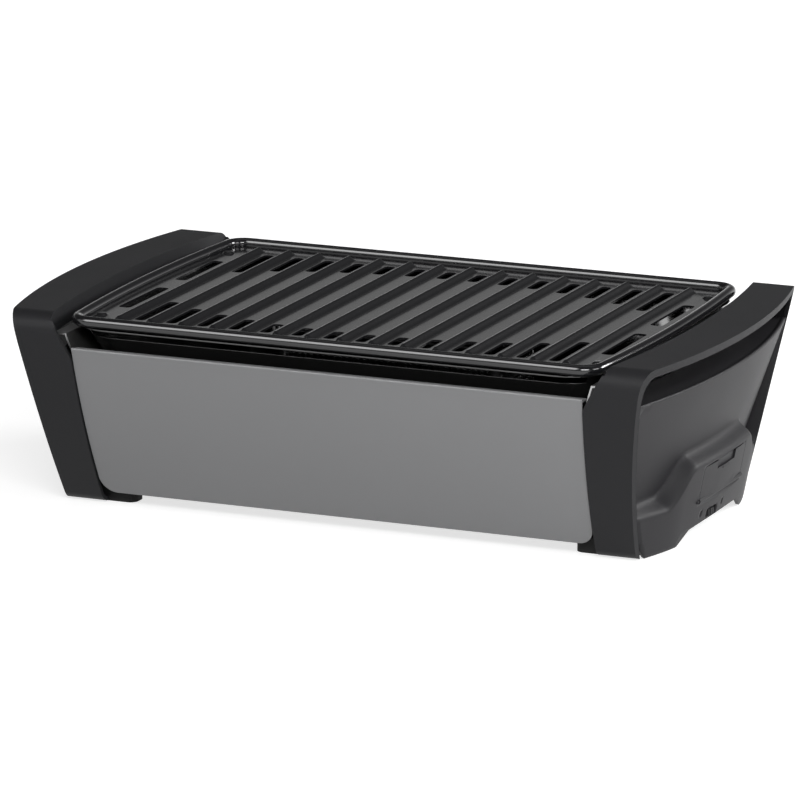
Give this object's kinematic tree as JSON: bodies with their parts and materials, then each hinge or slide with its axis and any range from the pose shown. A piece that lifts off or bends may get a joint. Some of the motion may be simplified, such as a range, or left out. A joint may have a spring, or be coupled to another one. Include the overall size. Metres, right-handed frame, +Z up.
{
  "type": "tabletop charcoal grill",
  "caption": "Long low tabletop charcoal grill with two carrying handles, a ribbed lift-off grate over a black bowl, a charcoal basket and a battery fan below.",
  "frame": {"origin": "on the floor, under the middle of the grill", "axes": "+X along the long side towards the battery door, +Y to the rear, +Z up"},
  "size_m": [0.5, 0.295, 0.141],
  "materials": {
    "dark_plastic": "fine-grained, nearly black grey",
    "side_plastic": "fine-grained, nearly black grey",
    "dial_plastic": "satin black",
    "inner_plastic": "plain black moulding",
    "foot_rubber": "soft black",
    "panel_paint": "satin mid grey",
    "black_enamel": "gloss black enamel",
    "grate_enamel": "satin black enamel",
    "basket_enamel": "black enamel",
    "dish_steel": "bright drawn steel",
    "inner_steel": "plain steel sheet",
    "base_steel": "black coated steel",
    "screw_steel": "zinc plated",
    "spring_metal": "nickel plated",
    "cell_case": "plain cell sleeve",
    "board": "circuit board"
  },
  "bodies": {
    "housing": {"left_end_frame": "dark_plastic", "right_end_frame": "dark_plastic", "left_side_panel": "side_plastic", "right_side_panel": "side_plastic", "front_left_foot_pad": "foot_rubber", "front_right_foot_pad": "foot_rubber", "rear_left_foot_pad": "foot_rubber", "rear_right_foot_pad": "foot_rubber", "battery_box": "inner_plastic", "battery_cell_1": "cell_case", "battery_cell_2": "cell_case", "battery_cell_3": "cell_case", "battery_cell_4": "cell_case", "contact_springs": "spring_metal", "speed_control": "inner_plastic", "control_board": "board", "front_panel": "panel_paint", "rear_panel": "panel_paint", "base_plate": "base_steel", "case_screws": "screw_steel", "left_inner_wall": "inner_steel", "right_inner_wall": "inner_steel", "fan_housing": "inner_plastic", "fan_motor": "screw_steel", "air_collar": "inner_steel"},
    "bowl": {"bowl": "black_enamel"},
    "starter_dish": {"starter_dish": "dish_steel"},
    "charcoal_basket": {"charcoal_basket": "basket_enamel"},
    "grill_grate": {"grill_grate": "grate_enamel"},
    "fan_rotor": {"fan_impeller": "inner_plastic", "motor_shaft": "spring_metal"},
    "battery_door": {"battery_door": "side_plastic", "door_contacts": "spring_metal"},
    "fan_dial": {"fan_dial": "dial_plastic"}
  },
  "joints": [
    {"name": "bowl_lift", "type": "slide", "parent": "housing", "child": "bowl", "axis": [0, 0, 1], "range_m": [0, 0.12]},
    {"name": "dish_lift", "type": "slide", "parent": "bowl", "child": "starter_dish", "axis": [0, 0, 1], "range_m": [0, 0.11]},
    {"name": "basket_lift", "type": "slide", "parent": "starter_dish", "child": "charcoal_basket", "axis": [0, 0, 1], "range_m": [0, 0.11]},
    {"name": "grate_lift", "type": "slide", "parent": "charcoal_basket", "child": "grill_grate", "axis": [0, 0, 1], "range_m": [0, 0.06]},
    {"name": "fan_spin", "type": "hinge", "parent": "housing", "child": "fan_rotor", "pos_m": [0, 0, 0.02], "axis": [0, 0, 1], "continuous": true},
    {"name": "battery_door_hinge", "type": "hinge", "parent": "housing", "child": "battery_door", "pos_m": [0.23042, 0.001, 0.0278], "axis": [0, 1, 0], "range_deg": [0, 80]},
    {"name": "fan_dial_turn", "type": "hinge", "parent": "housing", "child": "fan_dial", "pos_m": [0.21867, -0.0115, 0.015], "axis": [0, 0, 1], "range_deg": [0, 270]}
  ]
}
